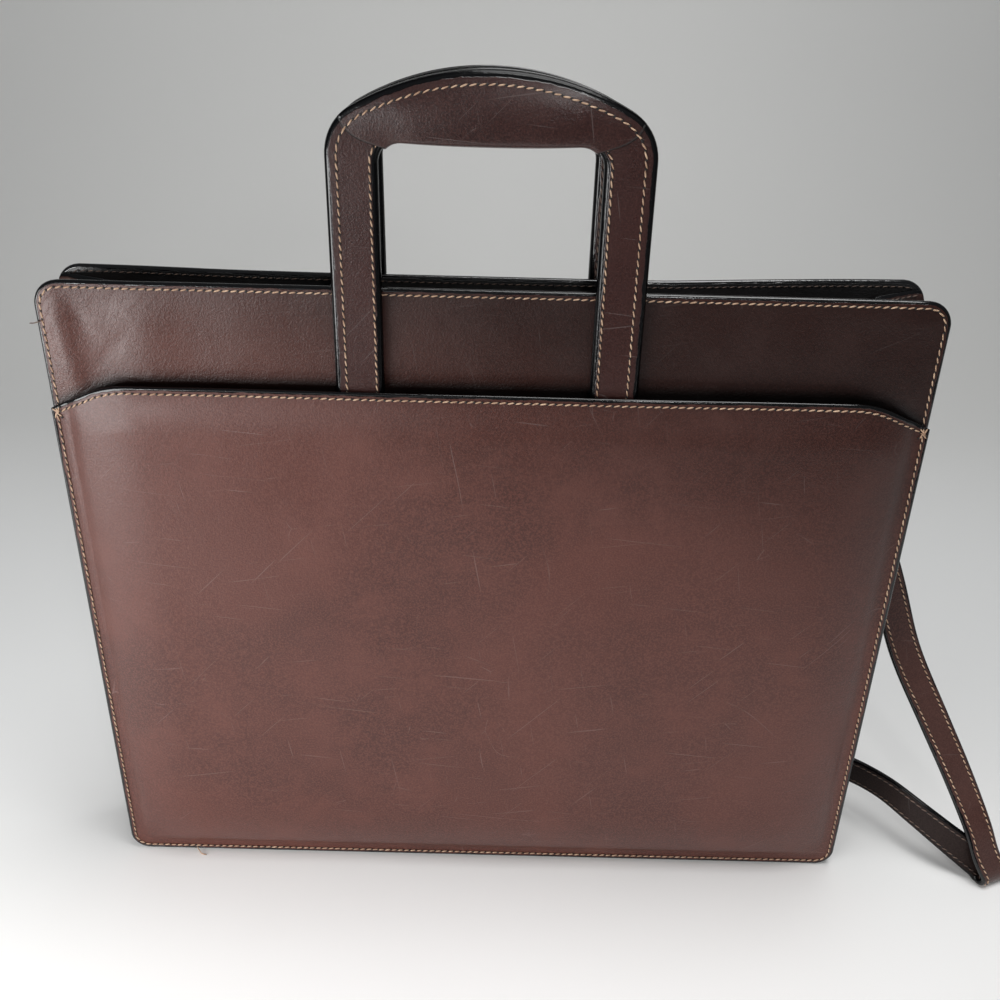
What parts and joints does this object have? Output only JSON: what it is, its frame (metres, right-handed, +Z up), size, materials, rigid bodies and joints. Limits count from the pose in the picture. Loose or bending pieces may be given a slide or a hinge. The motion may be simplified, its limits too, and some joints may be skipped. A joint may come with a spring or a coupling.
{
  "type": "leather document case with a folded shoulder strap",
  "caption": "Slim leather document case with an open top, outer pockets, padded carrying handles and a flat shoulder strap lying folded beside it.",
  "frame": {"origin": "middle of the front wall's bottom edge, halfway through its thickness, on the surface that the case stands on", "axes": "+X along the case to the right seen from the front, +Y from the front wall to the back wall, +Z up; the front pocket faces -Y"},
  "size_m": [0.4969, 0.0723, 0.419],
  "materials": {
    "brown_leather": "polished brown cowhide with fine grain and scratches, black painted edges and cream stitching",
    "handle_leather": "smooth polished brown cowhide with black edges and cream stitching",
    "gusset_leather": "soft dark brown leather, folded inwards",
    "stitch_thread": "cream waxed thread",
    "strap_leather": "brown strap leather with black edges, two rows of cream stitching and light wear"
  },
  "bodies": {
    "root": {"front_wall": "brown_leather", "back_wall": "brown_leather", "gusset": "gusset_leather", "front_pocket": "brown_leather", "back_pocket": "brown_leather", "front_handle_frame": "handle_leather", "front_handle_grip": "handle_leather", "back_handle_frame": "handle_leather", "back_handle_grip": "handle_leather", "shoulder_strap": "strap_leather"}
  },
  "joints": []
}
